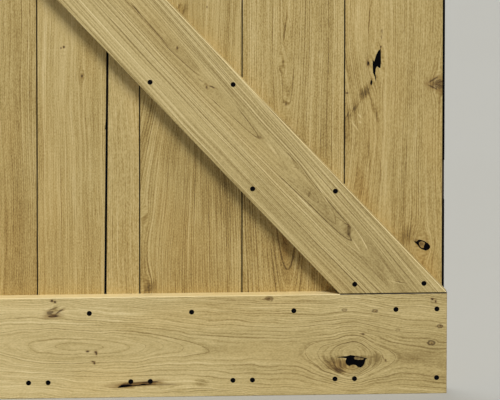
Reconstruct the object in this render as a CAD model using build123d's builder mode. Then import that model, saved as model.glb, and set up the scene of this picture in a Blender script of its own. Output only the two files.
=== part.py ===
"""Ledged and braced barn door leaf in solid oak, with black nails and black-filled knots."""

import os
from math import asin, atan2, hypot, sin, tan

from build123d import *

os.makedirs("parts", exist_ok=True)

# Sizes of the leaf, in millimetres. X runs along the ledges, Z up, and the ledges face -Y.
door_height = 2150.0
board_count = 6
board_width = 155.5
board_thickness = 22.0
joint_gap = 1.5
arris = 0.4

# Tongue and groove along the boards' long edges
tongue_thickness = 6.0
tongue_length = 6.0
tongue_clearance = 0.2
groove_depth = 6.0

# To the right of the first boards, one place is filled by two strips, and the wide joint between
# them isn't quite upright
left_board_count = 2
wide_gap = 3.2
strip_width_at_bottom = 52.0
strip_width_at_top = 30.5

# The outer boards are ripped, so that the ledges and braces stand a little past them
edge_setback = 6.8
edge_lip = 3.6

# Ledges and braces
ledge_height = 158.5
ledge_thickness = 22.0
brace_width = 120.5
brace_end_gap = 0.8
member_arris = 0.8

# Nails: flat heads level with the oak, and square shanks that narrow to an edge inside the boards
nail_head_radius = 3.9
nail_head_sides = 10
nail_head_thickness = 1.6
nail_shank_width = 3.2
nail_length = 36.0
nail_clearance = 0.05
nail_row_inset = 25.0
nail_joint_inset = 15.0
nail_end_inset = 15.5
nail_brace_inset = 15.5

# Black filler in the knots, in the wide joint and along the right edge. Heights are from the floor.
pocket_depth = 6.0
filler_drop = 0.2
bead_drop = 0.5
bead_break_bottom = 300.0
bead_break_top = 363.0
split_knot_from_joint = 49.0
split_knot_height = 512.0
round_knot_from_edge = 23.5
round_knot_height = 226.2
ledge_knot_from_joint = 14.0
ledge_knot_height = 53.0
ledge_crack_height = 19.0
edge_chip_height = 416.0

# Places that follow from the sizes
pitch = board_width + joint_gap
door_width = board_count * pitch
half_width = door_width / 2
front_y = -(board_thickness + ledge_thickness) / 2
seat_y = front_y + ledge_thickness
back_y = seat_y + board_thickness
tongue_front = seat_y + (board_thickness - tongue_thickness) / 2
tongue_back = tongue_front + tongue_thickness
joints = [i * pitch - half_width for i in range(board_count + 1)]
split_joint = joints[left_board_count + 1]
outer_left = edge_setback - half_width
outer_right = half_width - edge_setback

# The three ledges, and the height that is left for each brace between two of them
brace_rise = (door_height - 3 * ledge_height) / 2
ledge_bottoms = {
    "bottom_ledge": 0.0,
    "middle_ledge": ledge_height + brace_rise,
    "top_ledge": door_height - ledge_height,
}
brace_bottoms = {
    "lower_brace": ledge_height,
    "upper_brace": 2 * ledge_height + brace_rise,
}

# A brace runs from corner to corner, so its slope follows from the rise, the width and its own width.
# Its ends stop a little short of the ledges, which shows as a thin seam.
brace_angle = atan2(brace_rise, door_width) + asin(brace_width / hypot(brace_rise, door_width))
brace_slope = tan(brace_angle)
brace_cut = brace_width / sin(brace_angle)
brace_end_lean = brace_end_gap / brace_slope


def ledge_nails(bottom, pairs_below):
    """One nail in the middle of each board place, and a pair astride each joint in the other row."""
    low = bottom + nail_row_inset
    high = bottom + ledge_height - nail_row_inset
    single_row, pair_row = (high, low) if pairs_below else (low, high)
    ends = [nail_end_inset - half_width, half_width - nail_end_inset]
    middles = [joint + pitch / 2 for joint in joints[:-1]]
    beside = [joint + side * nail_joint_inset for joint in joints[1:-1] for side in (-1, 1)]
    return [(x, single_row) for x in middles + ends] + [(x, pair_row) for x in beside + ends]


def brace_nails(bottom):
    """Two nails for each board, each beside a joint and the same way in from the brace's long edge."""
    inset = nail_brace_inset / sin(brace_angle)
    low_line = half_width - brace_cut + inset
    high_line = half_width - inset
    points = []
    for joint in joints[1 : board_count - 1]:
        left = joint + nail_joint_inset
        right = joint + pitch - nail_joint_inset
        points.append((left, bottom + (low_line - left) * brace_slope))
        points.append((right, bottom + (high_line - right) * brace_slope))
    last_pair = [
        joints[-2] + nail_joint_inset,
        high_line - nail_end_inset / brace_slope,
    ]
    for x in last_pair:
        points.append((x, bottom + nail_end_inset))
        points.append((-x, bottom + brace_rise - nail_end_inset))
    return points


nails = {
    "bottom_ledge": ledge_nails(ledge_bottoms["bottom_ledge"], pairs_below=True),
    "middle_ledge": ledge_nails(ledge_bottoms["middle_ledge"], pairs_below=True),
    "top_ledge": ledge_nails(ledge_bottoms["top_ledge"], pairs_below=False),
    "lower_brace": brace_nails(brace_bottoms["lower_brace"]),
    "upper_brace": brace_nails(brace_bottoms["upper_brace"]),
}
all_nails = [point for points in nails.values() for point in points]

# Knots and cracks in the oak that show black, each drawn about its own middle on an upright face.
# They are splintered, so each outline runs straight from point to point.
split_knot = [
    (6.0, 26.8), (6.7, 19.0), (6.8, 5.0), (5.9, -4.2), (3.8, -3.4), (0.9, -1.0),
    (-1.2, -5.0), (-1.8, -12.0), (-0.6, -19.0), (-1.1, -26.1), (-2.4, -18.0), (-5.4, -11.0),
    (-6.0, 0.0), (-6.1, 10.0), (-3.7, 6.6), (-0.7, 16.8), (2.2, 22.6),
]
split_knot_drop = [
    (-7.6, -21.9), (-6.0, -24.8), (-6.6, -29.0), (-8.0, -31.0), (-9.2, -28.0), (-9.1, -24.0),
]
split_knot_chip = [
    (-13.4, 8.3), (-11.7, 4.2), (-14.4, -0.2), (-13.4, 4.2),
]
round_knot = [
    (-20.2, 10.4), (-17.6, 8.9), (-14.8, 9.0), (-12.9, 11.3), (-10.4, 11.7), (-3.8, 9.7),
    (2.9, 5.3), (5.4, 2.2), (5.8, -1.0), (3.6, -4.0), (-1.2, -5.9), (-7.9, -3.2),
    (-11.2, -0.6), (-13.6, 3.2), (-17.2, 6.6),
]
round_knot_core = [
    (-11.6, 6.8), (-9.9, 8.5), (-6.6, 8.8), (-3.0, 7.6), (-2.1, 5.2), (-4.0, 2.0),
    (-4.4, -1.7), (-7.1, -1.6), (-9.7, 0.9), (-11.2, 3.9),
]
ledge_knot = [
    (-27.7, 4.3), (-23.0, 6.6), (-18.4, 7.4), (-10.0, 8.0), (-5.4, 9.5), (0.0, 8.6),
    (7.0, 7.1), (14.0, 5.3), (20.9, 4.1), (18.2, 2.2), (16.9, -2.0), (16.0, -5.4),
    (13.8, -8.4), (11.0, -10.4), (8.6, -10.6), (5.6, -9.1), (2.9, -6.6), (-1.4, -5.8),
    (-4.4, -6.8), (-7.0, -8.1), (-10.6, -6.1), (-12.8, -2.8), (-12.8, 1.0), (-11.4, 4.2),
    (-19.0, 5.6), (-23.4, 5.4),
]
ledge_knot_sliver = [
    (0.1, 4.2), (1.7, 7.0), (8.4, 5.7), (14.6, 3.9), (15.6, 2.9), (13.2, 1.7), (6.5, 2.0), (1.7, 2.6),
]
ledge_crack = [
    (-36.0, -2.6), (-33.0, -3.6), (-28.0, -3.1), (-15.5, -1.8), (0.9, -0.5), (9.0, 0.0),
    (25.2, 0.6), (9.5, 1.2), (5.6, 2.6), (2.2, 2.2), (-1.0, 0.6), (-12.3, 0.0),
    (-18.0, 1.2), (-29.5, 1.0), (-31.0, -0.6),
]

# A chip out of the wide joint's left edge, drawn from the edge at its lower end
edge_chip = [
    (0.5, 0.0), (-1.2, 0.6), (0.0, 17.0), (0.5, 17.0),
]

# Where they lie, each tied to the joint or edge beside it. A core or a sliver is oak that is left
# standing in its knot.
split_knot_place = (joints[-2] + split_knot_from_joint, split_knot_height)
round_knot_place = (outer_right - round_knot_from_edge, round_knot_height)
ledge_knot_place = (joints[-2] + ledge_knot_from_joint, ledge_knot_height)
ledge_crack_place = (joints[board_count // 2], ledge_crack_height)
edge_board_pockets = [
    (split_knot, split_knot_place, Mode.ADD),
    (split_knot_drop, split_knot_place, Mode.ADD),
    (split_knot_chip, split_knot_place, Mode.ADD),
    (round_knot, round_knot_place, Mode.ADD),
    (round_knot_core, round_knot_place, Mode.SUBTRACT),
]
ledge_pockets = [
    (ledge_knot, ledge_knot_place, Mode.ADD),
    (ledge_knot_sliver, ledge_knot_place, Mode.SUBTRACT),
    (ledge_crack, ledge_crack_place, Mode.ADD),
]


def face_plane(y):
    """An upright plane that faces the viewer, at that depth."""
    return Plane.XZ.offset(-y)


def knot_sketch(knots, y):
    """The outlines of knots, drawn on an upright plane at their places."""
    with BuildSketch(face_plane(y)) as sketch:
        for outline, (middle_x, middle_z), mode in knots:
            with BuildLine() as line:
                Polyline(*[(middle_x + x, middle_z + z) for x, z in outline], close=True)
            make_face(line.edges(), mode=mode)
    return sketch.sketch


def board_section(z, left, right, tongue, grooved):
    """Plan section of a board at that height: groove on its left edge, tongue on its right."""
    groove_front = tongue_front - tongue_clearance
    groove_back = tongue_back + tongue_clearance
    with BuildSketch(Plane.XY.offset(z)) as section:
        with BuildLine():
            Polyline(
                (left, seat_y + arris),
                (left + arris, seat_y),
                (right - arris, seat_y),
                (right, seat_y + arris),
                (right, tongue_front),
                (right + tongue, tongue_front),
                (right + tongue, tongue_back),
                (right, tongue_back),
                (right, back_y),
                (left, back_y),
                close=True,
            )
        make_face()
        if grooved:
            with Locations((left, (groove_front + groove_back) / 2)):
                Rectangle(
                    groove_depth,
                    groove_back - groove_front,
                    align=(Align.MIN, Align.CENTER),
                    mode=Mode.SUBTRACT,
                )
    return section.sketch


def nail_shape(clearance=0.0):
    """A nail that points along Z, its head's face at the origin, or with a clearance the hole for it."""
    neck = nail_head_thickness + clearance
    half_shank = nail_shank_width / 2 + clearance
    taper = (nail_length - nail_head_thickness) / nail_shank_width
    with BuildPart() as nail:
        with BuildSketch():
            RegularPolygon(nail_head_radius + clearance, nail_head_sides)
        extrude(amount=neck)
        with BuildSketch(Plane.XZ):
            with BuildLine():
                Polyline(
                    (-half_shank, neck),
                    (half_shank, neck),
                    (0, neck + 2 * half_shank * taper),
                    close=True,
                )
            make_face()
        extrude(amount=half_shank, both=True)
    return nail.part


nail = nail_shape()
nail_hole = nail_shape(nail_clearance)


def nail_places(points):
    """Planes on the front of the ledges and braces, from which nails point into the boards."""
    return Locations(*[Plane((x, front_y, z), x_dir=(1, 0, 0), z_dir=(0, 1, 0)) for x, z in points])


def make_board(label, left, right, tongue=tongue_length, grooved=True, knots=()):
    """A board from floor to top. left and right are each a face edge's x at the bottom and at the top."""
    foot = board_section(0, left[0], right[0], tongue, grooved)
    head = board_section(door_height, left[1], right[1], tongue, grooved)
    with BuildPart() as board:
        if left[0] == left[1] and right[0] == right[1]:
            extrude(foot, amount=door_height)
        else:
            loft([foot, head], ruled=True)
        own_nails = [(x, z) for x, z in all_nails if min(left) < x < max(right)]
        with nail_places(own_nails):
            add(nail_hole, mode=Mode.SUBTRACT)
        if knots:
            pockets = knot_sketch(knots, seat_y)
            extrude(pockets, amount=-pocket_depth, mode=Mode.SUBTRACT)
    board.part.label = label
    export_step(board.part, f"parts/{label}.step")


def make_member(label, outline, knots=()):
    """A ledge or brace: its outline on the boards' face, brought forward by its thickness."""
    with BuildPart() as member:
        with BuildSketch(face_plane(seat_y)):
            with BuildLine():
                Polyline(*outline, close=True)
            make_face()
        extrude(amount=ledge_thickness)
        chamfer(member.faces().sort_by(Axis.Y)[0].edges(), member_arris)
        with nail_places(nails[label]):
            add(nail_hole, mode=Mode.SUBTRACT)
        if knots:
            pockets = knot_sketch(knots, front_y)
            extrude(pockets, amount=-pocket_depth, mode=Mode.SUBTRACT)
    member.part.label = label
    export_step(member.part, f"parts/{label}.step")


def make_nails(label):
    """The nails that hold one ledge or brace."""
    with BuildPart() as group:
        with nail_places(nails[label]):
            add(nail)
    group.part.label = f"{label}_nails"
    export_step(group.part, f"parts/{label}_nails.step")


def make_knot_filler(label, knots, face_y):
    """Black filler that stops just under the face, down to the bottom of its pocket."""
    surface = knot_sketch(knots, face_y + filler_drop)
    with BuildPart() as filler:
        extrude(surface, amount=filler_drop - pocket_depth)
    filler.part.label = label
    export_step(filler.part, f"parts/{label}.step")


def bead_section(z, left, right):
    """Section of a filler bead that lies on a tongue, between two faces."""
    with BuildSketch(Plane.XY.offset(z)) as section:
        with Locations((left, seat_y + bead_drop)):
            Rectangle(
                right - left,
                tongue_front - seat_y - bead_drop,
                align=(Align.MIN, Align.MIN),
            )
    return section.sketch


# Face edges of the boards, as pairs of x at the bottom and at the top
half_gap = joint_gap / 2
strip_right = split_joint - half_gap
strip_left = (strip_right - strip_width_at_bottom, strip_right - strip_width_at_top)
wide_right = tuple(x - wide_gap for x in strip_left)
wide_right_lean = (wide_right[1] - wide_right[0]) / door_height
edge_chip_place = (wide_right[0] + wide_right_lean * edge_chip_height, edge_chip_height)

for place in range(board_count):
    left = joints[place] + half_gap
    right = joints[place + 1] - half_gap
    if place == 0:
        make_board(f"board_{place + 1}", (outer_left,) * 2, (right,) * 2, grooved=False)
    elif place == left_board_count:
        make_board(
            f"board_{place + 1}_wide_strip",
            (left,) * 2,
            wide_right,
            knots=[(edge_chip, edge_chip_place, Mode.ADD)],
        )
        make_board(f"board_{place + 1}_narrow_strip", strip_left, (strip_right,) * 2)
    elif place == board_count - 1:
        make_board(
            f"board_{place + 1}",
            (left,) * 2,
            (outer_right,) * 2,
            tongue=edge_lip,
            knots=edge_board_pockets,
        )
    else:
        make_board(f"board_{place + 1}", (left,) * 2, (right,) * 2)

for label, bottom in ledge_bottoms.items():
    top = bottom + ledge_height
    outline = [(-half_width, bottom), (half_width, bottom), (half_width, top), (-half_width, top)]
    make_member(label, outline, ledge_pockets if label == "bottom_ledge" else ())

for label, bottom in brace_bottoms.items():
    foot = bottom + brace_end_gap
    head = bottom + brace_rise - brace_end_gap
    corner = half_width - brace_end_lean
    outline = [
        (corner - brace_cut, foot),
        (corner, foot),
        (brace_cut - corner, head),
        (-corner, head),
    ]
    make_member(label, outline)

for label in nails:
    make_nails(label)

make_knot_filler(f"board_{board_count}_knot_filler", edge_board_pockets, seat_y)
make_knot_filler("bottom_ledge_knot_filler", ledge_pockets, front_y)

# The bead in the wide joint leans with the joint
joint_foot = bead_section(0, wide_right[0], strip_left[0])
joint_head = bead_section(door_height, wide_right[1], strip_left[1])
with BuildPart() as wide_joint_bead:
    loft([joint_foot, joint_head], ruled=True)
wide_joint_bead.part.label = "wide_joint_bead"
export_step(wide_joint_bead.part, "parts/wide_joint_bead.step")

# The bead along the right edge is missing over one short stretch
lower_foot = bead_section(0, outer_right, outer_right + edge_lip)
upper_foot = bead_section(bead_break_top, outer_right, outer_right + edge_lip)
with BuildPart() as edge_bead:
    extrude(lower_foot, amount=bead_break_bottom)
    extrude(upper_foot, amount=door_height - bead_break_top)
edge_bead.part.label = "edge_bead"
export_step(edge_bead.part, "parts/edge_bead.step")
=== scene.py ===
"""Oak, black nails and black filler for a ledged and braced barn door, with its studio."""

from collections.abc import Sequence
from dataclasses import dataclass, replace
from math import asin, atan2, cos, degrees, hypot, radians, sin
from typing import NamedTuple

import bmesh
import bpy
from mathutils import Euler, Matrix, Vector


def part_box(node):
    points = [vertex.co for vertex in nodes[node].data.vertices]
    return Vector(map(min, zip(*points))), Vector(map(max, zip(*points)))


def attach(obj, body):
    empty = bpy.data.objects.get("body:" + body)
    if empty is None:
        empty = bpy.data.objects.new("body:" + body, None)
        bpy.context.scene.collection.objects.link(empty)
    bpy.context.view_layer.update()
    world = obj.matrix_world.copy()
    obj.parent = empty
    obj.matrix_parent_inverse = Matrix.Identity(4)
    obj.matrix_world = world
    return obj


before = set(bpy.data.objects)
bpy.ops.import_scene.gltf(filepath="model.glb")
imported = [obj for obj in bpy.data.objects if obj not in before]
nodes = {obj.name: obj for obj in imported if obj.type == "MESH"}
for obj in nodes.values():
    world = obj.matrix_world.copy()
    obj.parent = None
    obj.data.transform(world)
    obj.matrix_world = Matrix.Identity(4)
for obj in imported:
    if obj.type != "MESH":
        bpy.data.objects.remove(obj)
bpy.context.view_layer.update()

bl_info = {
    "name": "Barn door",
    "version": (1, 0, 0),
    "blender": (4, 5, 0),
    "location": "3D View > Sidebar > Door",
    "description": "Finishes an oak barn door and sets up its studio",
    "category": "Object",
}

MM = 0.001

# What the frame says about the door
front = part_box("bottom_ledge")[0].y
brace_low, brace_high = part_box("lower_brace")
upper_low, upper_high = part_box("upper_brace")

# A brace fills its box from corner to corner, and its ends are cut level
BRACE_WIDTH = 120.5 * MM
brace_run = brace_high.x - brace_low.x
brace_rise = brace_high.z - brace_low.z
brace_angle = atan2(brace_rise, brace_run) + asin(BRACE_WIDTH / hypot(brace_rise, brace_run))
brace_turn = degrees(brace_angle) - 90
brace_foot = brace_high.x - BRACE_WIDTH / sin(brace_angle)

# Where each brace's grain and marks are measured from, in millimetres
LOWER_BRACE_MIDDLE = (180, 405)
UPPER_BRACE_MIDDLE = (0, (upper_low.z + upper_high.z) / 2 / MM)


@dataclass(frozen=True)
class Mark:
    """An ellipse on the face of the oak, in millimetres. turn leans it to the right, in degrees."""

    x: float
    z: float
    half_width: float
    half_length: float
    strength: float = 1.0
    turn: float = 0.0


def brace_mark(along, across, half_width, half_length, strength=1.0, turn=0.0):
    """A mark on the lower brace, along it to the upper left and across it to the upper right."""
    x = LOWER_BRACE_MIDDLE[0] + across * sin(brace_angle) - along * cos(brace_angle)
    z = LOWER_BRACE_MIDDLE[1] + across * cos(brace_angle) + along * sin(brace_angle)
    return Mark(x, z, half_width, half_length, strength, brace_turn + turn)


def marks(*rows):
    """Marks from rows of their numbers."""
    return [Mark(*row) for row in rows]


def brace_marks(*rows):
    """Marks on the lower brace from rows of their numbers."""
    return [brace_mark(*row) for row in rows]


class Sway(NamedTuple):
    """Fibres bent aside near middle: by the whole shift up to start across the piece, not past end."""

    middle: float
    reach: float
    shift: float
    start: float
    end: float


class Dip(NamedTuple):
    """A stretch along the piece in which the pith lies nearer the face."""

    middle: float
    reach: float
    drop: float


class Ring(NamedTuple):
    """A growth ring that stands out from start to end, dark where its strength is below 0."""

    radius: float
    half_thickness: float
    strength: float
    start: float
    end: float


@dataclass(frozen=True)
class Grain:
    """How a piece was cut from its log, in millimetres across and along the fibres from x and z.

    The pith lies pith_depth behind the boards' front. Per millimetre along the fibres it moves
    aside by drift and gets deeper by lean. wander, ripple and tremor bend the fibres, from slow
    to quick. thread_contrast, fineness, grit and breadth scale pale threads, fine streaks, pores
    with flecks, and broad streaks.
    """

    x: float
    z: float
    turn: float = 0.0
    pith_across: float = 150.0
    pith_depth: float = 60.0
    drift: float = 0.0
    lean: float = 0.0
    undulation: float = 20.0
    ring_pitch: float = 3.2
    ring_contrast: float = 1.0
    thread_contrast: float = 1.0
    wander: float = 8.0
    ripple: float = 1.5
    tremor: float = 0.0
    streak: float = 90.0
    fibre_width: float = 1.5
    fineness: float = 1.0
    grit: float = 1.0
    breadth: float = 1.0
    dips: Sequence = ()
    sways: Sequence = ()
    rings: Sequence = ()
    seed: int = 0


@dataclass(frozen=True)
class Look:
    """A piece of oak: its grain, its tone, and its marks.

    slope is how much paler it gets per millimetre along the fibres. Knots are dark, eyes are
    golden inside a dark outline, shades are darker or paler patches, golds are golden patches,
    and the fibres part round swirls.
    """

    grain: Grain
    tone: float = 0.0
    contrast: float = 1.0
    slope: float = 0.0
    knots: Sequence = ()
    eyes: Sequence = ()
    shades: Sequence = ()
    golds: Sequence = ()
    swirls: Sequence = ()


# What the three ledges have in common, and the two braces
LEVEL = 90.0
LEDGE_OAK = dict(ring_pitch=2.9, ripple=7, tremor=2.6)
BRACE_RINGS = dict(turn=brace_turn, ring_pitch=2.6, ring_contrast=0.5, thread_contrast=1.3)
BRACE_OAK = dict(streak=420, fibre_width=1.6, fineness=2.2, grit=0.65, breadth=0.2, **BRACE_RINGS)

BOARD_3_WIDE_STRIP = Look(
    grain=Grain(-104, 400, pith_across=170, pith_depth=70, ring_contrast=0.8, ripple=3, seed=31),
    knots=marks((-115.4, 547, 1.6, 1.6), (-119.9, 545.5, 1, 1), (-87.9, 501.3, 1.5, 2.2, 0.8)),
    swirls=[Mark(-115.4, 547, 4, 9), Mark(-87.9, 501.3, 4, 9)],
)

BOARD_3_NARROW_STRIP = Look(
    grain=Grain(
        -24, 300, pith_across=110, pith_depth=50, sways=[Sway(330, 300, -12, 60, 90)], seed=37
    ),
    tone=0.02,
)

BOARD_4 = Look(
    grain=Grain(
        78,
        300,
        pith_across=-170,
        pith_depth=60,
        ring_contrast=1.2,
        wander=12,
        sways=[Sway(230, 360, 36, -50, 30), Sway(-150, 120, 9, -60, -20)],
        seed=41,
    ),
    tone=-0.075,
    knots=[Mark(103.3, 606.9, 1.2, 1.4, 0.8)],
    shades=[
        # Painted shade beside the brace, in the wide soft edge of its shadow
        brace_mark(0, -108, 48, 300, -0.13),
        # The brown patch near the top
        Mark(66, 604, 12, 16, -0.14, 20),
        Mark(59, 606, 3, 12, -0.3, 25),
        Mark(68, 602, 2.4, 14, -0.28, 10),
        Mark(71, 584, 4, 14, -0.15, -25),
        # Two spots at the left edge
        Mark(15.8, 168, 10, 16, -0.3, 20),
        Mark(10, 282, 7, 16, -0.1, 15),
    ],
    swirls=[Mark(59, 610, 10, 22), Mark(7, 282, 6, 14), Mark(10, 168, 8, 20)],
)

BOARD_5 = Look(
    grain=Grain(
        235,
        300,
        pith_across=-9,
        pith_depth=23,
        lean=-0.068,
        undulation=1.5,
        ring_pitch=3.6,
        wander=3,
        rings=[
            Ring(29.7, 1.7, -0.24, -125, -20),
            Ring(31.8, 1, 0.16, -160, -40),
            Ring(34, 1.2, -0.16, -170, -50),
            Ring(36.5, 1, -0.13, -200, -60),
            Ring(27, 1.1, -0.16, -90, -20),
            Ring(24.5, 1, -0.12, -90, -20),
            Ring(12.6, 1, -0.25, 130, 220),
        ],
        seed=53,
    ),
    tone=-0.075,
    contrast=1.15,
    knots=[Mark(224.4, 453.7, 1.8, 2.6, 0.5)],
    shades=[
        # Streaks above and below the small knot
        Mark(223, 575, 2.2, 44, -0.3, 8),
        Mark(220, 517, 4, 12, -0.2),
        Mark(223, 232, 9, 30, -0.14, -4),
        # Painted shade beside the brace, in the wide soft edge of its shadow
        brace_mark(-60, -108, 44, 210, -0.09),
    ],
    golds=[Mark(223, 235, 12, 45, 0.2, -4)],
    swirls=[Mark(218, 520, 6, 16), Mark(224.4, 453.7, 5, 16)],
)

BOARD_6 = Look(
    grain=Grain(
        392, 300, pith_across=160, pith_depth=60, sways=[Sway(110, 170, 16, -46, 0)], seed=67
    ),
    tone=-0.05,
    contrast=0.9,
    knots=marks(
        # Spots round the splintered knot
        (317.9, 469.7, 2.2, 1.4, 0.7),
        (350, 515.5, 2, 4.6, 1, -6),
        (354.4, 486.6, 1.3, 4.5, 0.8, 8),
        (369.6, 541.5, 1.2, 1.8, 0.8),
        (370.5, 556, 0.9, 4, 0.4, 2),
        (370.8, 566, 1.3, 3, 0.4),
        # The knot at the right edge, with its rays
        (457, 482, 10.5, 8.5, 0.8, 8),
        (450, 489, 9, 1.6, 0.75, -32),
        (450, 477, 9, 1.5, 0.75, 27),
        (459, 485, 9, 1.3, 0.6, -14),
        (459, 480, 9, 1.3, 0.6, 14),
        # Brown wood round the eye-shaped knot
        (434, 232, 6, 5, 0.45, 20),
        (432, 231, 3.2, 3, 0.4),
        (426, 235, 6, 2.2, 0.3, 30),
    ),
    shades=marks(
        # Above the splintered knot
        (351.5, 586, 2.2, 42, -0.3, 5),
        (335, 575, 16, 75, 0.12),
        # Brown patches and dark curls below the splintered knot
        (346, 471, 11, 18, -0.42, 30),
        (325, 441, 14, 28, -0.14, 25),
        (318, 412, 12, 34, -0.12, 10),
        (317, 432, 2, 16, -0.2, 28),
        (326, 441, 2, 18, -0.22, 28),
        (334, 450, 2, 15, -0.2, 28),
        (312, 446, 2, 12, -0.16, 28),
        # A dark crescent, and pale curls
        (359, 446, 5, 34, -0.26, -16),
        (330, 418, 1.6, 14, 0.3, -35),
        (337, 434, 2, 6, 0.4, -35),
        (338, 424, 2.2, 4, 0.35, -45),
        # Beside the two black knots
        (350, 520, 4, 16, -0.14, -10),
        (410, 243, 14, 24, -0.26, 20),
        # Long streaks in the lower part
        (370, 340, 2.5, 50, -0.16, -4),
        (352, 372, 3, 40, -0.16, -3),
        (341, 320, 12, 60, -0.11, -12),
        (377, 330, 8, 110, 0.12, -4),
        (404, 320, 7, 100, -0.1, 2),
    ),
    # Painted light: a warm glow of light bounced off the brace, along its upper edge
    golds=[Mark(341, 320, 16, 60, 0.15, -12), Mark(440, 200, 25, 50, 0.15)],
    swirls=[Mark(363, 512, 12, 34), Mark(458, 482, 10, 20), Mark(434, 230, 12, 20)],
)

BOARD_LOOKS = {
    "board_1": Look(Grain(-392, 900, pith_across=180, seed=11), tone=0.02),
    "board_2": Look(Grain(-235, 1100, pith_across=-160, seed=23), tone=-0.01),
    "board_3_wide_strip": BOARD_3_WIDE_STRIP,
    "board_3_narrow_strip": BOARD_3_NARROW_STRIP,
    "board_4": BOARD_4,
    "board_5": BOARD_5,
    "board_6": BOARD_6,
}

BOTTOM_LEDGE = Look(
    grain=Grain(
        0,
        79,
        LEVEL,
        pith_across=1,
        pith_depth=17,
        drift=0.058,
        undulation=1,
        ring_contrast=2.0,
        fineness=1.7,
        grit=0.8,
        dips=[Dip(322, 88, 13), Dip(326, 35, 6), Dip(-93, 230, 13)],
        rings=[
            # Round the small knots on the left
            Ring(27, 0.8, -0.13, -160, 100),
            Ring(29.6, 0.8, -0.1, -200, 100),
            Ring(31.6, 0.8, -0.16, -200, 100),
            Ring(33.8, 0.8, -0.12, -200, 130),
            Ring(36, 0.8, -0.16, -240, 140),
            Ring(38.2, 0.8, -0.14, -240, 200),
            # Round the large knot
            Ring(26, 0.8, -0.22, 200, 440),
            Ring(28, 0.7, -0.16, 200, 440),
            Ring(30, 0.8, -0.26, 200, 440),
            Ring(32, 0.7, -0.18, 200, 440),
            Ring(34, 0.8, -0.26, 200, 440),
            Ring(37.6, 0.8, -0.24, 190, 450),
        ],
        seed=71,
        **LEDGE_OAK,
    ),
    tone=0.05,
    # Painted shade: slope darkens the ledge towards its right end, where the light falls off
    slope=-0.0003,
    knots=marks(
        # Small knots on the left
        (-81.4, 73.5, 2.2, 1.5, 0.85),
        (-68.8, 72.5, 2.3, 1.5, 0.9),
        (-67.8, 70.5, 1.3, 2.8, 0.8),
        (-72.4, 57.2, 2.6, 1.2, 0.8, 15),
        (-70.8, 55, 1.4, 2, 0.8, 0),
        # The knot far left, with its rays
        (-135.7, 153.9, 2.2, 1.8, 0.95),
        (-131.1, 152.2, 1.8, 1.6, 0.95),
        (-134, 130.5, 10, 3, 1, -6),
        (-126, 136, 8, 1.5, 0.8, -32),
        (-139, 135, 6, 3.8, 0.7, -10),
        (-133, 142, 7, 1.2, 0.5, -20),
        # Dark wood along the crack
        (-9, 21.2, 28, 2.9, 0.85, -4),
        (-24, 18.8, 12, 2.6, 0.95, -6),
        (16, 24, 13, 1.5, 0.9, -4),
        (8, 20.4, 12, 1.2, 0.9, -3),
        (38, 20, 20, 1.6, 0.4, 0),
        # Small knots on the right
        (197.3, 153.4, 2.6, 1.6, 0.7),
        (202, 150.5, 1.2, 2.2, 0.5, 30),
        (373, 58, 0.9, 3.4, 0.5, -25),
        (342, 95.4, 2.8, 1.3, 0.7),
        (361, 131, 1.4, 1, 0.6),
        (448.5, 149, 2.4, 1.5, 0.95, 20),
        (453.5, 145.5, 1.4, 2.4, 0.8, -20),
        (461, 107, 1.6, 1.3, 0.85),
        (447.5, 79, 1.5, 1, 0.7),
        (377, 53, 1.3, 1.8, 0.65, -20),
    ),
    eyes=marks(
        (313.4, 133.7, 4.2, 2.2, 0.5),
        (360.3, 131.5, 4.2, 2.6, 0.6),
        (460.4, 106.4, 4, 3.2, 0.7),
        (446.7, 79.8, 5.6, 3.6, 0.75),
        (395.5, 101, 3.4, 1.8, 0.35),
        (451, 147, 5, 4, 0.22),
        (197.5, 153.5, 5.5, 3, 0.4),
    ),
    shades=marks(
        # Round the knot far left, and along the crack
        (-131, 141, 9, 10, -0.24),
        (-4, 21, 40, 6, -0.25, -4),
        # Brown wood round the large knot
        (296, 48, 30, 20, -0.26),
        (328, 46, 28, 16, -0.2),
        (362, 56, 22, 15, -0.2),
        # Painted shade: the right end darker, where the light falls off
        (430, 62, 60, 14, -0.1, -4),
        # The sliver inside the large knot
        (336, 58, 18, 6, -0.42),
        # Spots
        (92, 22, 18, 9, -0.24, 10),
        (306.7, 38, 12, 8, -0.26, 20),
        (197.3, 153.1, 9, 4, -0.3),
        (313.4, 133.7, 5, 2.5, -0.15),
        (360.3, 131.5, 5, 2.5, -0.15),
    ),
    golds=[Mark(312, 46, 34, 18, 0.3)],
    swirls=marks(
        (328, 53, 11, 30),
        (-2, 19, 5, 40),
        (-131, 141, 8, 14),
        (197, 153, 4, 10),
        (447, 80, 4, 8),
    ),
)

PLAIN_LEDGE = dict(turn=LEVEL, undulation=6, streak=80, **LEDGE_OAK)
LEDGE_LOOKS = {
    "bottom_ledge": BOTTOM_LEDGE,
    "middle_ledge": Look(Grain(0, 1075, pith_across=20, pith_depth=30, seed=79, **PLAIN_LEDGE)),
    "top_ledge": Look(Grain(0, 2070, pith_across=-60, pith_depth=45, seed=83, **PLAIN_LEDGE)),
}

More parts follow.
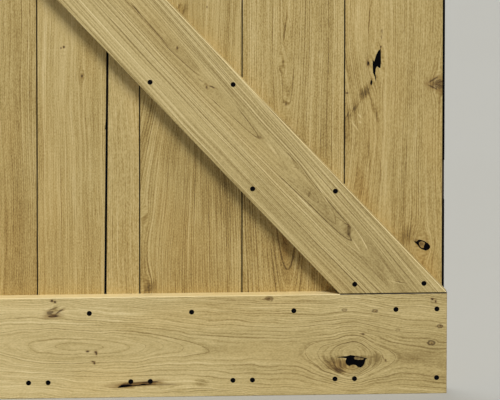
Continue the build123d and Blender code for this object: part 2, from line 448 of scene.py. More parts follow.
LOWER_BRACE = Look(
    grain=Grain(
        *LOWER_BRACE_MIDDLE,
        pith_across=2,
        pith_depth=-7.4,
        drift=0.02,
        lean=-0.043,
        undulation=1,
        wander=2,
        rings=[
            Ring(9.6, 0.8, -0.22, 130, 215),
            Ring(14.7, 0.9, -0.28, -20, 60),
            Ring(20.5, 0.8, -0.1, -150, -70),
            Ring(22.4, 0.8, -0.12, -200, -85),
            Ring(24, 1, -0.28, -240, -60),
            Ring(24.2, 0.7, -0.14, -80, 300),
            Ring(26, 0.8, 0.3, -250, 300),
            Ring(33, 0.7, 0.12, -340, 300),
            Ring(37, 0.7, -0.14, -340, -40),
            Ring(42, 0.8, 0.22, -330, 300),
            Ring(44.5, 0.7, -0.14, -330, 300),
            Ring(49.5, 0.7, -0.18, -340, -60),
        ],
        seed=97,
        **BRACE_OAK,
    ),
    knots=brace_marks(
        (189, 7, 1.4, 2.4, 0.7, 40),
        (113, -2, 1.5, 2.8, 0.7, 30),
        (108, 4, 1.1, 5.5, 0.75, -25),
        (127, -1.5, 0.8, 5, 0.4, -10),
        (-1, 4, 1.4, 2.2, 0.35),
        (-197, 7.5, 1.3, 1.2, 0.7),
    ),
    shades=brace_marks(
        # Dark streaks in the upper part
        (276, 2.8, 1.4, 17, -0.45, 3),
        (235, 0.6, 1.2, 42, -0.28, 3),
        # Round the small knots
        (117, -0.5, 4, 5, -0.16),
        (86, -8.6, 0.8, 16, -0.3, -2),
        (148, -11, 0.7, 16, -0.25, -2),
        # Curls in the middle and lower part
        (-62, 13, 4, 16, -0.14, 4),
        (-72, 10, 1.1, 8, -0.2, -30),
        (-60, 17, 0.9, 20, -0.22, 4),
        (-192, 7, 0.9, 9, -0.2, -30),
        (-112, 0, 8, 18, -0.06),
        (-118, -2, 2, 7, -0.16, 60),
        (-165, -2, 8, 55, -0.05),
        # Pale outlines of the curls
        (-128, -17, 1.2, 40, 0.3, 1),
        (-132, 13, 1.2, 26, 0.26, 14),
        (-228, -5, 1.6, 16, 0.28, 10),
        (-25, 4.5, 2.2, 20, 0.2, 4),
        # Lines and curls towards the foot
        (-180, 5, 0.9, 18, -0.22, -10),
        (-205, -2, 5, 9, -0.07, 20),
        (-293, -10, 4, 26, -0.1),
        (-270, -13, 0.8, 50, -0.2),
        (-318, 6, 1, 16, -0.2, -35),
        (-312, 0, 1.2, 14, 0.2, -30),
    ),
    swirls=brace_marks((190, 5, 3, 10), (115, 0, 5, 16), (-66, 12, 5, 18), (-200, 3, 6, 22)),
)

UPPER_BRACE = Look(
    Grain(
        *UPPER_BRACE_MIDDLE,
        pith_across=-14,
        pith_depth=-4,
        lean=0.04,
        undulation=4,
        wander=5,
        seed=101,
        **BRACE_OAK,
    )
)

BRACE_LOOKS = {"lower_brace": LOWER_BRACE, "upper_brace": UPPER_BRACE}


class Noise(NamedTuple):
    """A noise in the oak, in millimetres across and along the fibres, with a number of its own."""

    across: float
    along: float
    number: int
    detail: float = 2.0
    roughness: float = 0.5


# Noises that bend the fibres and the pith
WANDER = Noise(160, 420, 0, detail=1.0)
RIPPLE = Noise(40, 90, 1, detail=1.0)
TREMOR = Noise(14, 32, 12, detail=1.0)
UNDULATION = Noise(400, 230, 2, detail=1.0)
WAVER = Noise(9, 120, 3)

# Noises that shade the oak
BROAD = Noise(26, 700, 4)
MEDIUM = Noise(4.5, 200, 5)
CLOUD = Noise(70, 130, 8)
FLECK = Noise(1.2, 3, 9, detail=0.0)
THREAD = Noise(1.4, 500, 11, detail=1.0)
WARMTH = Noise(60, 240, 10, detail=1.0)
PORE_WIDTH = 0.9
STREAKS_PER_PORE = 5

# A seed moves a noise by these many units for each step
SEED_STEPS = (7.3, 3.1, 5.7)

# Between which values of a normal's part a face starts to count as facing that way
FACING_UP = (0.7, 0.9)
LEANING_UP = (0.35, 0.45)
FACING_FRONT = (-0.65, -0.5)
FRONT_OR_BACK = (0.4, 0.6)
FACING_LEFT = (-0.8, -0.6)
FACING_RIGHT = (0.6, 0.8)
END_GRAIN = (0.55, 0.75)

# Painted shade in the joints: depths behind the boards' front, in millimetres, at which the darkened
# insides of the joints start and end
JOINT_STARTS = (1.0, 2.0)
JOINT_ENDS = (20.0, 21.0)

# Where the five colours of a palette stand, from the darkest shade to the palest
COLOUR_STOPS = (0.0, 0.3, 0.5, 0.7, 1.0)

# A size in metres so large that the depth of a point doesn't count
DEPTHLESS = 1000.0

# Growth rings
RING_WAVER = 0.9
PORE_ROW_ENDS = (0.0, 0.2)
PORE_ROW_FALL = 2.5
PORE_ROW_MEAN = 0.15
FAINTEST_RING = 0.25
LEVEL_ARC = 6.0

# How much of the streaks and of the rings is left where a ring lies level with the face
LEVEL_STREAKS = 0.15
LEVEL_RINGS = 0.4

# A ring's line in millimetres: the share of its half thickness that is whole, and how its ends fade
RING_CORE = 0.3
RING_FADE = 15

# Outlines of marks: how ragged they are, and from where to where a mark fades, 1 being its outline
SHADE_RAGGED = 0.8
SHADE_FADE = (0.15, 1.0)
GOLD_RAGGED = 0.4
GOLD_FADE = (0.2, 1.0)
KNOT_RAGGED = 1.1
KNOT_CORE = (0.7, 1.05)
KNOT_HALO = (0.9, 2.3)
KNOT_HALO_STRENGTH = 0.5
EYE_RAGGED = 0.9
EYE_OUTLINE = 0.85
EYE_OUTLINE_FADE = (0.1, 0.45)
EYE_HALO = (0.6, 1.6)
EYE_HALO_STRENGTH = 0.35
SWIRL_FADE = (1.0, 6.0)
SWIRL_PUSH = 0.8

# Knots whose half sizes are above this, in millimetres, show this many rings to a half width
RINGED_KNOT = 4
KNOT_RINGS = 2.6

# What brings a noise from -0.5 to 0.5 to its full swing, which slow noise rarely reaches
FULL_SWING = 2.0
SLOW_SWING = 2.5


class Value:
    """A number, vector or colour that varies over the surface. Its operators add Math nodes."""

    def __init__(self, tree, socket):
        self.tree = tree
        self.socket = socket

    def math(self, operation, *others):
        return self.tree.math(operation, self, *others)

    def __add__(self, other):
        return self.math("ADD", other)

    def __sub__(self, other):
        return self.math("SUBTRACT", other)

    def __rsub__(self, other):
        return self.tree.math("SUBTRACT", other, self)

    def __mul__(self, other):
        return self.math("MULTIPLY", other)

    def __truediv__(self, other):
        return self.math("DIVIDE", other)

    def __rtruediv__(self, other):
        return self.tree.math("DIVIDE", other, self)

    def __pow__(self, other):
        return self.math("POWER", other)

    def __abs__(self):
        return self.math("ABSOLUTE")

    __radd__ = __add__
    __rmul__ = __mul__

    def root(self):
        return self.math("SQRT")

    def fades(self, start, end):
        """1 below start, 0 above end, with a smooth step between them."""
        settings = {"interpolation_type": "SMOOTHSTEP"}
        sockets = {"Value": self, "From Min": start, "From Max": end, "To Min": 1.0, "To Max": 0.0}
        return self.tree.node("ShaderNodeMapRange", settings, sockets)

    def rises(self, start, end):
        """0 below start, 1 above end, with a smooth step between them."""
        return 1.0 - self.fades(start, end)

    def at_least(self, share):
        """A value from 0 to 1, raised so that it starts at the share and still ends at 1."""
        return self * (1 - share) + share


class Tree:
    """A node tree, and the methods that add its nodes."""

    def __init__(self, tree):
        tree.nodes.clear()
        self.nodes = tree.nodes
        self.links = tree.links

    def node(self, kind, settings=None, sockets=None, output=0):
        """Adds a node, settings first and then sockets. Gives one output, or all of them for None."""
        node = self.nodes.new(kind)
        for key, value in (settings or {}).items():
            if key == "stops":
                self.set_stops(node.color_ramp, value)
            else:
                setattr(node, key, value)
        for key, value in (sockets or {}).items():
            socket = node.inputs[key]
            if isinstance(value, Value):
                self.links.new(value.socket, socket)
            elif socket.type == "RGBA":
                socket.default_value = (*value[:3], 1.0)
            else:
                socket.default_value = value
        if output is None:
            return [Value(self, socket) for socket in node.outputs]
        return Value(self, node.outputs[output])

    def set_stops(self, ramp, stops):
        """Gives a colour ramp its stops, each a position and a colour."""
        while len(ramp.elements) < len(stops):
            ramp.elements.new(1.0)
        for element, (position, colour) in zip(ramp.elements, stops):
            element.position = position
            element.color = (*colour, 1.0)

    def math(self, operation, *values):
        return self.node("ShaderNodeMath", {"operation": operation}, dict(enumerate(values)))

    def mix(self, factor, first, second, blend_type="MIX"):
        """A colour between two colours."""
        settings = {"data_type": "RGBA", "blend_type": blend_type}
        return self.node("ShaderNodeMix", settings, {0: factor, 6: first, 7: second}, output=2)


class Finish(Tree):
    """A material whose patterns stand on Object coordinates."""

    def __init__(self, name):
        self.material = bpy.data.materials.new(name)
        self.material.use_nodes = True
        super().__init__(self.material.node_tree)
        self.point = self.node("ShaderNodeTexCoord", output="Object")

    def placed(self, point, location, turn, scale):
        """The point as seen from a place, turned about Y, and measured in units of scale."""
        sockets = {
            "Vector": point,
            "Location": location,
            "Rotation": (0.0, radians(turn), 0.0),
            "Scale": scale,
        }
        return self.node("ShaderNodeMapping", {"vector_type": "TEXTURE"}, sockets)

    def seen_from(self, mark, turn):
        """The point as seen from a mark's middle, in units of its half width and half length."""
        location = (mark.x * MM, 0.0, mark.z * MM)
        scale = (mark.half_width * MM, DEPTHLESS, mark.half_length * MM)
        return self.placed(self.point, location, turn, scale)

    def split(self, vector):
        """A vector's three numbers."""
        return self.node("ShaderNodeSeparateXYZ", None, {0: vector}, output=None)

    def joined(self, x, y, z):
        return self.node("ShaderNodeCombineXYZ", None, {0: x, 1: y, 2: z})

    def length(self, vector):
        return self.node("ShaderNodeVectorMath", {"operation": "LENGTH"}, {0: vector}, output="Value")

    def noise(self, vector, detail=2.0, roughness=0.5):
        """Noise from -0.5 to 0.5, with features about one unit of the vector apart."""
        sockets = {"Vector": vector, "Scale": 1.0, "Detail": detail, "Roughness": roughness}
        return self.node("ShaderNodeTexNoise", None, sockets) - 0.5

    def stretched(self, vector, across, along, seed):
        """The vector in units of those lengths, moved by a seed so that no two patterns agree."""
        scale = (1 / across, 1 / across, 1 / along)
        moved = tuple(seed * step for step in SEED_STEPS)
        sockets = {0: vector, 1: scale, 2: moved}
        return self.node("ShaderNodeVectorMath", {"operation": "MULTIPLY_ADD"}, sockets)

    def ellipse(self, mark, ragged, raggedness):
        """How far a point lies from a mark's middle, where 1 is the mark's ragged outline."""
        return self.length(self.seen_from(mark, mark.turn)) + ragged * raggedness

    def surface(self, color, roughness, height, bump_depth, specular):
        """The shader at the end of a material."""
        relief = {"Height": height, "Strength": 1.0, "Distance": bump_depth}
        sockets = {
            "Base Color": color,
            "Roughness": roughness,
            "Normal": self.node("ShaderNodeBump", None, relief),
            "Specular IOR Level": specular,
        }
        shader = self.node("ShaderNodeBsdfPrincipled", None, sockets)
        self.node("ShaderNodeOutputMaterial", None, {"Surface": shader}, output=None)
        return self.material


class Oak(Finish):
    """Oak with growth rings round a wandering pith, pores, knots, streaks, stains, painted shade in the
    joints, and painted light on its tops and arrises.
    """

    def __init__(self, name, props, look):
        super().__init__(name)
        self.props = props
        self.look = look
        self.grain = look.grain
        origin = (self.grain.x * MM, 0.0, self.grain.z * MM)
        self.local = self.placed(self.point, origin, self.grain.turn, (MM, MM, MM))
        self.across, self.depth, self.along = self.split(self.local)
        self.read_normal()
        self.bend_fibres()
        self.grow_rings()
        self.add_streaks()

    def pattern(self, vector, noise):
        """One of the oak's noises on a vector in millimetres."""
        place = self.stretched(vector, noise.across, noise.along, self.grain.seed + noise.number)
        return self.noise(place, noise.detail, noise.roughness)

    def near(self, stretch):
        """1 at a stretch's middle, and 0 from its reach on."""
        return abs(self.along - stretch.middle).fades(0.0, stretch.reach)

    def read_normal(self):
        """Finds which way the surface faces."""
        normal = self.node("ShaderNodeTexCoord", output="Normal")
        self.normal_x, normal_y, normal_z = self.split(normal)
        self.facing_up = normal_z.rises(*FACING_UP)
        self.leaning_up = normal_z.rises(*LEANING_UP)
        # Painted highlight: the arrises that lean up towards the front, where the light catches them
        self.lit_arris = self.leaning_up * normal_y.fades(*FACING_FRONT)
        self.front_or_back = abs(normal_y).rises(*FRONT_OR_BACK)
        fibre_wise = self.placed(normal, (0.0, 0.0, 0.0), self.grain.turn, (1.0, 1.0, 1.0))
        # Ends across the fibres are darkened: partly as real end grain is, partly as painted shade of
        # the seams where the braces' ends meet the ledges
        self.end_grain = abs(self.split(fibre_wise)[2]).rises(*END_GRAIN)

    def bend_fibres(self):
        """The fibres wander from side to side, and part round each swirl."""
        grain = self.grain
        across = self.across + self.pattern(self.local, WANDER) * (SLOW_SWING * grain.wander)
        across = across + self.pattern(self.local, RIPPLE) * (FULL_SWING * grain.ripple)
        if grain.tremor:
            across = across + self.pattern(self.local, TREMOR) * (FULL_SWING * grain.tremor)
        for sway in grain.sways:
            across = across - self.near(sway) * across.fades(sway.start, sway.end) * sway.shift
        for swirl in self.look.swirls:
            seen = self.seen_from(swirl, grain.turn)
            distance = self.length(seen)
            push = self.split(seen)[0] / (distance * distance).math("MAXIMUM", 1.0)
            most = SWIRL_PUSH * swirl.half_width * swirl.strength
            across = across - push * distance.fades(*SWIRL_FADE) * most
        self.across = across
        self.wandering = self.joined(across, self.depth, self.along)

    def grow_rings(self):
        """Growth rings round the pith: each starts with a dark row of pores and grows paler."""
        grain = self.grain
        undulation = self.pattern(self.local, UNDULATION) * (FULL_SWING * grain.undulation)
        pith_depth = self.along * grain.lean + undulation + grain.pith_depth
        for dip in grain.dips:
            pith_depth = pith_depth - self.near(dip) * dip.drop
        beside = self.across - self.along * grain.drift - grain.pith_across
        behind = self.depth - pith_depth
        radius = (beside * beside + behind * behind).root()
        steepness = (beside * beside + LEVEL_ARC).root() / radius
        self.radius = radius
        self.steepness = steepness.math("MINIMUM", 1.0)
        self.waver = self.pattern(self.wandering, WAVER)
        ring = radius / grain.ring_pitch + self.waver * RING_WAVER
        through_ring = ring.math("FRACT")
        settings = {"noise_dimensions": "1D"}
        strength = self.node("ShaderNodeTexWhiteNoise", settings, {"W": ring.math("FLOOR")})
        starts = through_ring.rises(*PORE_ROW_ENDS)
        fall = (1.0 - through_ring) ** PORE_ROW_FALL
        self.pore_row = fall * starts * strength.at_least(FAINTEST_RING)

    def add_streaks(self):
        """Streaks from broad to fine run with the rings, and so do the pores themselves."""
        grain = self.grain
        self.ring_place = self.radius + self.waver * 0.5
        fibre = self.joined(self.ring_place, self.across * 0.12 + self.depth, self.along)
        fine = Noise(grain.fibre_width, grain.streak, 6, roughness=0.6)
        hair = Noise(PORE_WIDTH, grain.streak / STREAKS_PER_PORE, 7, detail=1.0)
        self.broad = self.pattern(fibre, BROAD)
        self.medium = self.pattern(fibre, MEDIUM)
        self.fine = self.pattern(fibre, fine)
        self.hair = self.pattern(self.wandering, hair)
        self.cloud = self.pattern(self.local, CLOUD)
        self.fleck = self.pattern(self.wandering, FLECK)
        self.threads = self.pattern(fibre, THREAD).rises(0.07, 0.2)
        self.pores = (self.hair + self.pore_row * 0.12).fades(0.16, 0.02)

    def shade(self):
        """How pale the oak is, from 0 to 1."""
        props, grain, look = self.props, self.grain, self.look
        shade = (self.broad * props.broad_streaks + self.medium * props.medium_streaks) * grain.breadth
        shade = shade + self.fine * (props.fine_streaks * grain.fineness)
        shade = shade * self.steepness.at_least(LEVEL_STREAKS) + self.cloud * props.clouds
        shade = shade + (self.hair * props.pores + self.fleck * props.flecks) * grain.grit
        rings = (self.pore_row - PORE_ROW_MEAN) * self.steepness.at_least(LEVEL_RINGS)
        shade = shade - rings * (props.rings * grain.ring_contrast)
        shade = shade * look.contrast + (props.tone + look.tone)
        shade = shade + self.threads * self.steepness * (props.threads * grain.thread_contrast)
        # Painted light: the faces that look up are made paler, as the light falls on them from above
        shade = shade + self.facing_up * props.painted_top_light
        # Ends darker: partly real end grain, partly painted seam shade
        # Painted highlight: arrises that lean up to the front are made paler
        shade = shade - self.end_grain * props.end_grain + self.lit_arris * props.arris_highlight
        if look.slope:
            shade = shade + self.along * look.slope
        for ring in grain.rings:
            away = abs(self.ring_place - ring.radius) / self.steepness
            line = away.fades(RING_CORE * ring.half_thickness, ring.half_thickness)
            line = line * self.along.fades(ring.end - RING_FADE, ring.end)
            line = line * self.along.rises(ring.start, ring.start + RING_FADE)
            shade = shade + line * ring.strength
        ragged = self.fine + self.medium
        for mark in look.shades:
            shade = shade + self.ellipse(mark, ragged, SHADE_RAGGED).fades(*SHADE_FADE) * mark.strength
        return shade

    def golden(self, color):
        """The colour with a golden cast on some stretches, painted golden light on the faces that look
        up, and the golden marks.
        """
        props = self.props
        warmth = self.pattern(self.local, WARMTH).fades(0.28, -0.02)
        # Painted light: a golden cast on the faces that look up
        casts = [warmth * props.warmth + self.facing_up * props.painted_top_gold]
        for mark in self.look.golds:
            patch = self.ellipse(mark, self.medium, GOLD_RAGGED).fades(*GOLD_FADE)
            casts.append(patch * mark.strength)
        for cast in casts:
            color = self.mix(cast, color, props.warm, "SOFT_LIGHT")
        return color

    def with_joint_shade(self, color, joints, seam_shade_from):
        """The colour with painted shade in the joints, and painted shade in the seam on the top edge,
        right of the point given for it.
        """
        # Painted shade inside the joints between the boards, where shade falls
        inside = self.depth.rises(*JOINT_STARTS) * self.depth.fades(*JOINT_ENDS) * self.front_or_back
        if "left" in joints:
            inside = inside + self.normal_x.fades(*FACING_LEFT)
        if "right" in joints:
            inside = inside + self.normal_x.rises(*FACING_RIGHT)
        # Painted shade on the braces' ends, in the seams against the ledges
        if "ends" in joints:
            inside = inside + self.end_grain
        # Painted shade in the seam where a brace stands on the ledge top
        if seam_shade_from is not None:
            x = self.split(self.point)[0]
            inside = inside + self.leaning_up * x.rises(seam_shade_from, seam_shade_from + MM)
        return self.mix(inside, color, self.props.joint)

    def knotted(self, color):
        """The colour with knots in soft brown halos, and with eyes in brown outlines."""
        props = self.props
        ragged = self.fine + self.hair
        for mark in self.look.knots:
            distance = self.ellipse(mark, ragged, KNOT_RAGGED)
            halo = distance.fades(*KNOT_HALO) * (KNOT_HALO_STRENGTH * mark.strength)
            color = self.mix(halo, color, props.stain)
            core = distance.fades(*KNOT_CORE)
            if min(mark.half_width, mark.half_length) > RINGED_KNOT:
                ring = (distance * KNOT_RINGS + self.medium * FULL_SWING).math("FRACT")
                core = core * (ring * 0.8 + 0.3)
            color = self.mix(core * mark.strength, color, props.knot)
        for mark in self.look.eyes:
            distance = self.ellipse(mark, ragged, EYE_RAGGED)
            halo = distance.fades(*EYE_HALO) * (EYE_HALO_STRENGTH * mark.strength)
            color = self.mix(halo, color, props.stain)
            outline = abs(distance - EYE_OUTLINE).fades(*EYE_OUTLINE_FADE)
            color = self.mix(outline * mark.strength, color, props.knot)
        return color


def oak(name, props, look, palette, joints=(), seam_shade_from=None):
    """A piece's own oak, in a palette from dark to pale, with painted shade in the joints on some of
    its sides.
    """
    wood = Oak(name, props, look)
    shade = wood.shade()
    stops = list(zip(COLOUR_STOPS, (props.deep, *palette)))
    color = wood.node("ShaderNodeValToRGB", {"stops": stops}, {"Fac": shade})
    color = wood.knotted(wood.with_joint_shade(wood.golden(color), joints, seam_shade_from))
    roughness = shade * -0.12 + (props.roughness + 0.06)
    height = shade * 0.5 - wood.pore_row * 0.4 - wood.pores * 0.2
    return wood.surface(color, roughness, height, props.relief * MM, specular=0.35)


def black_metal(name, props):
    """Black-coated steel with a slight unevenness."""
    finish = Finish(name)
    cloud = finish.noise(finish.stretched(finish.point, 2.5 * MM, 2.5 * MM, 1.0), detail=3.0)
    grit = finish.noise(finish.stretched(finish.point, 0.4 * MM, 0.4 * MM, 2.0))
    color = finish.mix((cloud + 0.5).fades(0.3, 0.8), props.coat_worn, props.coat)
    roughness = cloud * 0.3 + props.coat_roughness
    return finish.surface(color, roughness, grit + cloud, 0.05 * MM, specular=0.03)


def black_resin(name, props):
    """Black filler that has shrunk a little, with dust on it."""
    finish = Finish(name)
    waves = finish.noise(finish.stretched(finish.point, 6 * MM, 14 * MM, 3.0), detail=3.0)
    dust = finish.noise(finish.stretched(finish.point, 0.7 * MM, 0.7 * MM, 4.0))
    color = finish.mix((dust + 0.5).fades(0.5, 0.85), props.filler_dust, props.filler)
    roughness = waves * 0.4 + props.filler_roughness
    return finish.surface(color, roughness, waves + dust * 0.4, 0.2 * MM, specular=0.03)


def floor_finish(props):
    """Pale plaster with a faint mottle."""
    finish = Finish("floor")
    mottle = finish.noise(finish.stretched(finish.point, 0.4, 0.4, 5.0), detail=3.0)
    color = finish.mix((mottle + 0.5).fades(0.2, 0.8) * 0.06, props.floor, (0.5, 0.5, 0.5))
    return finish.surface(color, mottle * 0.1 + 0.8, mottle, 0.1 * MM, specular=0.2)


def paint(red, green, blue):
    """A colour as it looks on screen, from 0 to 255, in Blender's linear values."""
    shares = [value / 255 for value in (red, green, blue)]
    return tuple(((s + 0.055) / 1.055) ** 2.4 if s > 0.04 else s / 12.92 for s in shares)


def color_property(name, description, default):
    limits = {"subtype": "COLOR", "size": 3, "min": 0.0, "max": 1.0}
    return bpy.props.FloatVectorProperty(name=name, description=description, default=default, **limits)


def share_property(name, description, default, highest=2.0):
    limits = {"min": 0.0, "max": highest}
    return bpy.props.FloatProperty(name=name, description=description, default=default, **limits)


def length_property(name, description, default):
    return bpy.props.FloatProperty(name=name, description=description, default=default, unit="LENGTH")


def angle_property(name, description, angle):
    default = radians(angle)
    return bpy.props.FloatProperty(name=name, description=description, default=default, subtype="ANGLE")


class DoorOakProperties(bpy.types.PropertyGroup):
    """The look of the oak."""

    deep: color_property("Deep", "Colour of the darkest streaks", paint(84, 64, 30))
    dark: color_property("Dark", "Dark streaks in the boards", paint(146, 121, 66))
    middle: color_property("Middle", "Colour of most of the boards", paint(177, 154, 96))
    light: color_property("Light", "Light streaks in the boards", paint(196, 174, 119))
    pale: color_property("Pale", "Palest streaks in the boards", paint(215, 196, 146))
    rail_dark: color_property("Rail dark", "Dark streaks in ledges and braces", paint(142, 121, 72))
    rail_middle: color_property("Rail middle", "Most of the ledges and braces", paint(180, 160, 106))
    rail_light: color_property("Rail light", "Light streaks in ledges and braces", paint(204, 184, 131))
    rail_pale: color_property("Rail pale", "Palest streaks in ledges and braces", paint(226, 208, 158))
    warm: color_property("Warm", "Golden cast of some stretches", paint(186, 146, 78))
    stain: color_property("Stain", "Halo round a knot", paint(126, 94, 42))
    knot: color_property("Knot", "Core of a knot", paint(62, 40, 14))
    # Painted shade: the dark colour for the insides of the joints, the seams under the braces and the
    # braces' ends
    joint: color_property("Joint", "Inside of the joints between the boards", paint(30, 21, 12))
    warmth: share_property("Warmth", "How golden the warm stretches are", 0.12, 1.0)
    tone: share_property("Tone", "Where the oak sits from deep to pale", 0.52, 1.0)
    broad_streaks: share_property("Broad streaks", "Contrast of streaks about 3 cm wide", 0.3)
    medium_streaks: share_property("Medium streaks", "Contrast of streaks about 5 mm wide", 0.3)
    fine_streaks: share_property("Fine streaks", "Contrast of streaks about 2 mm wide", 0.46)
    pores: share_property("Pores", "Contrast of the pores", 0.4)
    clouds: share_property("Clouds", "Contrast of broad soft patches", 0.2)
    flecks: share_property("Flecks", "Contrast of small flecks", 0.42)
    threads: share_property("Threads", "Strength of the thin pale lines", 0.2)
    # Painted light on the tops: paler and more golden where the oak faces up
    painted_top_light: share_property("Planed tops", "How much paler the oak is where it faces up", 0.4)
    painted_top_gold: share_property("Golden tops", "How much more golden it is where it faces up", 0.15)
    # Painted highlight on the arrises that face up and to the front
    arris_highlight: share_property("Arrises", "How much paler the arrises are that face up", 0.55)
    # Partly real darker end grain, partly painted shade of the seams at the braces' ends
    end_grain: share_property("End grain", "How much darker the ends of the pieces are", 0.14)
    rings: share_property("Rings", "Contrast of the growth rings", 0.36)
    roughness: share_property("Roughness", "Roughness of the bare oak", 0.6, 1.0)
    relief: share_property("Relief", "Depth of the grain, in millimetres", 0.25, 1.0)


class DoorBlackProperties(bpy.types.PropertyGroup):
    """The look of the nails and of the filler."""

    coat: color_property("Coat", "Colour of the nails' coating", paint(4, 4, 6))
    coat_worn: color_property("Worn coat", "Colour of the coating where it is thin", paint(12, 12, 13))
    coat_roughness: share_property("Coat roughness", "Roughness of the nails", 0.7, 1.0)
    filler: color_property("Filler", "Colour of the filler", paint(4, 4, 6))
    filler_dust: color_property("Dust", "Colour of the dust on the filler", paint(11, 11, 12))
    filler_roughness: share_property("Filler roughness", "Roughness of the filler", 0.75, 1.0)
    crown: length_property("Crown", "How far the middle of a nail's head stands out", 0.22 * MM)


class DoorStageProperties(bpy.types.PropertyGroup):
    """The camera, the floor and the light."""

    elevation: angle_property("Elevation", "Height of the view above level", 13.0)
    azimuth: angle_property("Azimuth", "Turn of the view to the right", -3.434)
    roll: angle_property("Roll", "Turn of the view about its own line", 0.055)
    distance: length_property("Distance", "From the camera to the ledge's face", 20.0)
    width: length_property("Width", "Width of the door that the view takes in", 0.7652)
    target: bpy.props.FloatVectorProperty(
        name="Target",
        description="Point in the middle of the view",
        subtype="TRANSLATION",
        default=(0.168, front, 0.3087),
    )
    floor_size: length_property("Floor size", "Length of the floor's sides", 80.0)
    floor: color_property("Floor", "Colour of the floor", paint(178, 177, 170))
    backdrop: color_property("Backdrop", "Colour behind the door", paint(202, 200, 191))
    key_strength: share_property("Key", "Light from above, a little from the right", 3.08, 10.0)
    fill_strength: share_property("Fill", "Light from behind and from the left", 1.4, 10.0)
    sky_strength: share_property("Sky", "Even light from all sides", 0.15, 10.0)


class DoorSettings(bpy.types.PropertyGroup):
    """All that can be set."""

    oak: bpy.props.PointerProperty(type=DoorOakProperties, name="Oak")
    black: bpy.props.PointerProperty(type=DoorBlackProperties, name="Black")
    stage: bpy.props.PointerProperty(type=DoorStageProperties, name="Stage")


def dress(node, material):
    """Gives a node of the frame its material."""
    mesh = nodes[node].data
    mesh.materials.clear()
    mesh.materials.append(material)


def rail_palette(props):
    """The ledges' and braces' colours, from dark to pale."""
    return props.rail_dark, props.rail_middle, props.rail_light, props.rail_pale


class DOOR_OT_boards(bpy.types.Operator):
    """Finish the upright boards in oak"""

    bl_idname = "door.boards"
    bl_label = "Boards"

    def execute(self, context):
        props = context.scene.door.oak
        palette = (props.dark, props.middle, props.light, props.pale)
        # Sides of each board whose joints get painted shade
        joints = {"board_1": ("right",), "board_6": ("left",)}
        for node, look in BOARD_LOOKS.items():
            # Painted light: a warm glow of bounced light over the lower part of every board
            foot = Mark(look.grain.x, 190, 160, 170, 0.12)
            look = replace(look, slope=0.0001, golds=(foot, *look.golds))
            sides = joints.get(node, ("left", "right"))
            dress(node, oak(f"oak_{node}", props, look, palette, sides))
        return {"FINISHED"}


class DOOR_OT_ledges(bpy.types.Operator):
    """Finish the three ledges in oak, with painted shade in the seam where a brace stands on a ledge"""

    bl_idname = "door.ledges"
    bl_label = "Ledges"

    def execute(self, context):
        props = context.scene.door.oak
        for node, look in LEDGE_LOOKS.items():
            # Painted seam shade on the ledge top, right of the brace's foot
            seam_shade_from = None if node == "top_ledge" else brace_foot
            look = replace(look, contrast=0.72)
            dress(node, oak(f"oak_{node}", props, look, rail_palette(props), seam_shade_from=seam_shade_from))
        return {"FINISHED"}


class DOOR_OT_braces(bpy.types.Operator):
    """Finish the two braces in oak"""

    bl_idname = "door.braces"
    bl_label = "Braces"

    def execute(self, context):
        props = context.scene.door.oak
        for node, look in BRACE_LOOKS.items():
            look = replace(look, tone=-0.05, contrast=0.9, slope=0.00005)
            # The braces' ends get the painted seam shade
            dress(node, oak(f"oak_{node}", props, look, rail_palette(props), ("ends",)))
        return {"FINISHED"}


# The nails' heads: how deep and how far apart their corners lie, and their round faces
HEAD_DEPTH = 0.1 * MM
HEAD_SPREAD = 9 * MM
HEAD_RADIUS = 3.95 * MM
HEAD_SIDES = 24
CROWN_SHARE = 0.8


def head_middles(node):
    """The middle of each nail's head, from the corners of the heads in a nail node."""
    vertices = nodes[node].data.vertices
    corners = {tuple(round(c, 5) for c in v.co) for v in vertices if v.co.y < front + HEAD_DEPTH}
    heads = []
    for corner in sorted(corners):
        near = [head for head in heads if (Vector(head[0]) - Vector(corner)).length < HEAD_SPREAD]
        if near:
            near[0].append(corner)
        else:
            heads.append([corner])
    return [sum((Vector(corner) for corner in head), Vector()) / len(head) for head in heads]


def finished_piece(name, shape, material):
    """Turns a bmesh into a piece that rides with the door."""
    mesh = bpy.data.meshes.new(name)
    shape.to_mesh(mesh)
    shape.free()
    mesh.materials.append(material)
    piece = bpy.data.objects.new(name, mesh)
    bpy.context.scene.collection.objects.link(piece)
    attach(piece, "root")
    return piece


class DOOR_OT_nails(bpy.types.Operator):
    """Finish the nails in black and give their heads round, slightly crowned faces"""

    bl_idname = "door.nails"
    bl_label = "Nails"

    def execute(self, context):
        props = context.scene.door.black
        material = black_metal("black_nails", props)
        upright = Euler((radians(90), 0, 0)).to_matrix().to_4x4()
        for node in [name for name in sorted(nodes) if name.endswith("_nails")]:
            dress(node, material)
            shape = bmesh.new()
            for middle in head_middles(node):
                place = Matrix.Translation(middle + Vector((0, -props.crown / 2, 0))) @ upright
                sizes = dict(radius1=HEAD_RADIUS, radius2=HEAD_RADIUS * CROWN_SHARE, depth=props.crown)
                bmesh.ops.create_cone(shape, cap_ends=True, segments=HEAD_SIDES, matrix=place, **sizes)
            for face in shape.faces:
                face.smooth = len(face.verts) == 4
            finished_piece(node.replace("nails", "nail_crowns"), shape, material)
        return {"FINISHED"}


class DOOR_OT_fillers(bpy.types.Operator):
    """Finish the filler in the knots, in the wide joint and along the edge"""

    bl_idname = "door.fillers"
    bl_label = "Fillers"

    def execute(self, context):
        material = black_resin("black_filler", context.scene.door.black)
        for node in sorted(nodes):
            if node.endswith(("_filler", "_bead")):
                dress(node, material)
        return {"FINISHED"}


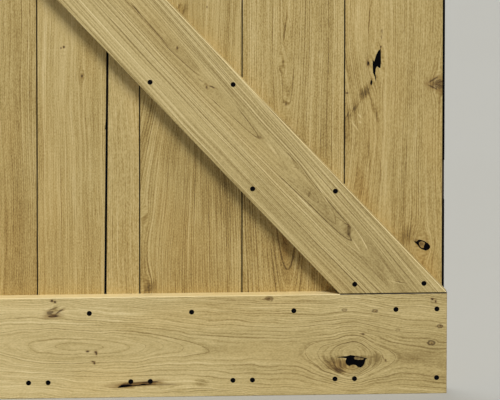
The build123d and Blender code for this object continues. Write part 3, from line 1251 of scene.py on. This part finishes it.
def sun(name, direction, strength, angle):
    """A lamp whose light comes from that direction, with shadows as soft as its angle is wide."""
    lamp = bpy.data.lights.new(name, "SUN")
    lamp.energy = strength
    lamp.angle = radians(angle)
    piece = bpy.data.objects.new(name, lamp)
    piece.rotation_euler = Vector(direction).to_track_quat("Z", "Y").to_euler()
    bpy.context.scene.collection.objects.link(piece)


def studio_world(props):
    """Even light, and a pale backdrop for the camera and for reflections."""
    world = bpy.data.worlds.new("studio")
    world.use_nodes = True
    sky = Tree(world.node_tree)
    white = (1.0, 1.0, 1.0)
    light = sky.node("ShaderNodeBackground", None, {"Color": white, "Strength": props.sky_strength})
    backdrop = sky.node("ShaderNodeBackground", None, {"Color": props.backdrop, "Strength": 1.0})
    camera_ray = sky.node("ShaderNodeLightPath", output="Is Camera Ray")
    glossy_ray = sky.node("ShaderNodeLightPath", output="Is Glossy Ray")
    seen = camera_ray.math("MAXIMUM", glossy_ray)
    both = sky.node("ShaderNodeMixShader", None, {0: seen, 1: light, 2: backdrop})
    sky.node("ShaderNodeOutputWorld", None, {"Surface": both}, output=None)
    bpy.context.scene.world = world


def lay_floor(scene, props):
    """A pale floor under the door."""
    shape = bmesh.new()
    bmesh.ops.create_grid(shape, x_segments=1, y_segments=1, size=props.floor_size / 2)
    mesh = bpy.data.meshes.new("floor")
    shape.to_mesh(mesh)
    shape.free()
    mesh.materials.append(floor_finish(props))
    floor = bpy.data.objects.new("floor", mesh)
    scene.collection.objects.link(floor)


def place_camera(scene, props):
    """A camera far away, whose lens takes in the width that the view is to show."""
    azimuth, elevation = props.azimuth, props.elevation
    back = Vector((sin(azimuth) * cos(elevation), -cos(azimuth) * cos(elevation), sin(elevation)))
    camera = bpy.data.cameras.new("camera")
    camera.lens = camera.sensor_width * props.distance / props.width
    camera.clip_start = 0.1
    camera.clip_end = 500.0
    holder = bpy.data.objects.new("camera", camera)
    turned = back.to_track_quat("Z", "Y").to_matrix() @ Matrix.Rotation(props.roll, 3, "Z")
    place = Matrix.Translation(Vector(props.target) + back * props.distance)
    holder.matrix_world = place @ turned.to_4x4()
    scene.collection.objects.link(holder)
    scene.camera = holder


class DOOR_OT_stage(bpy.types.Operator):
    """Set up the camera, the floor and the light"""

    bl_idname = "door.stage"
    bl_label = "Stage"

    def execute(self, context):
        scene = context.scene
        props = scene.door.stage
        scene.view_settings.view_transform = "Standard"
        lay_floor(scene, props)
        place_camera(scene, props)
        sun("key", (0.3, -1.0, 1.14), props.key_strength, 24)
        sun("fill", (-0.6, 1.0, 0.8), props.fill_strength, 60)
        studio_world(props)
        return {"FINISHED"}


class DOOR_PT_panel(bpy.types.Panel):
    """Lists the steps that finish the door"""

    bl_label = "Barn door"
    bl_space_type = "VIEW_3D"
    bl_region_type = "UI"
    bl_category = "Door"

    def draw(self, context):
        for operator in OPERATORS:
            self.layout.operator(operator.bl_idname)


OAK_OPERATORS = (DOOR_OT_boards, DOOR_OT_ledges, DOOR_OT_braces)
OPERATORS = (DOOR_OT_stage, *OAK_OPERATORS, DOOR_OT_nails, DOOR_OT_fillers)
PROPERTIES = (DoorOakProperties, DoorBlackProperties, DoorStageProperties, DoorSettings)
CLASSES = (*PROPERTIES, *OPERATORS, DOOR_PT_panel)


def register():
    for cls in CLASSES:
        bpy.utils.register_class(cls)
    bpy.types.Scene.door = bpy.props.PointerProperty(type=DoorSettings)


def unregister():
    del bpy.types.Scene.door
    for cls in reversed(CLASSES):
        bpy.utils.unregister_class(cls)


def main():
    register()
    bpy.ops.door.stage()
    bpy.ops.door.boards()
    bpy.ops.door.ledges()
    bpy.ops.door.braces()
    bpy.ops.door.nails()
    bpy.ops.door.fillers()


if __name__ == "__main__":
    main()
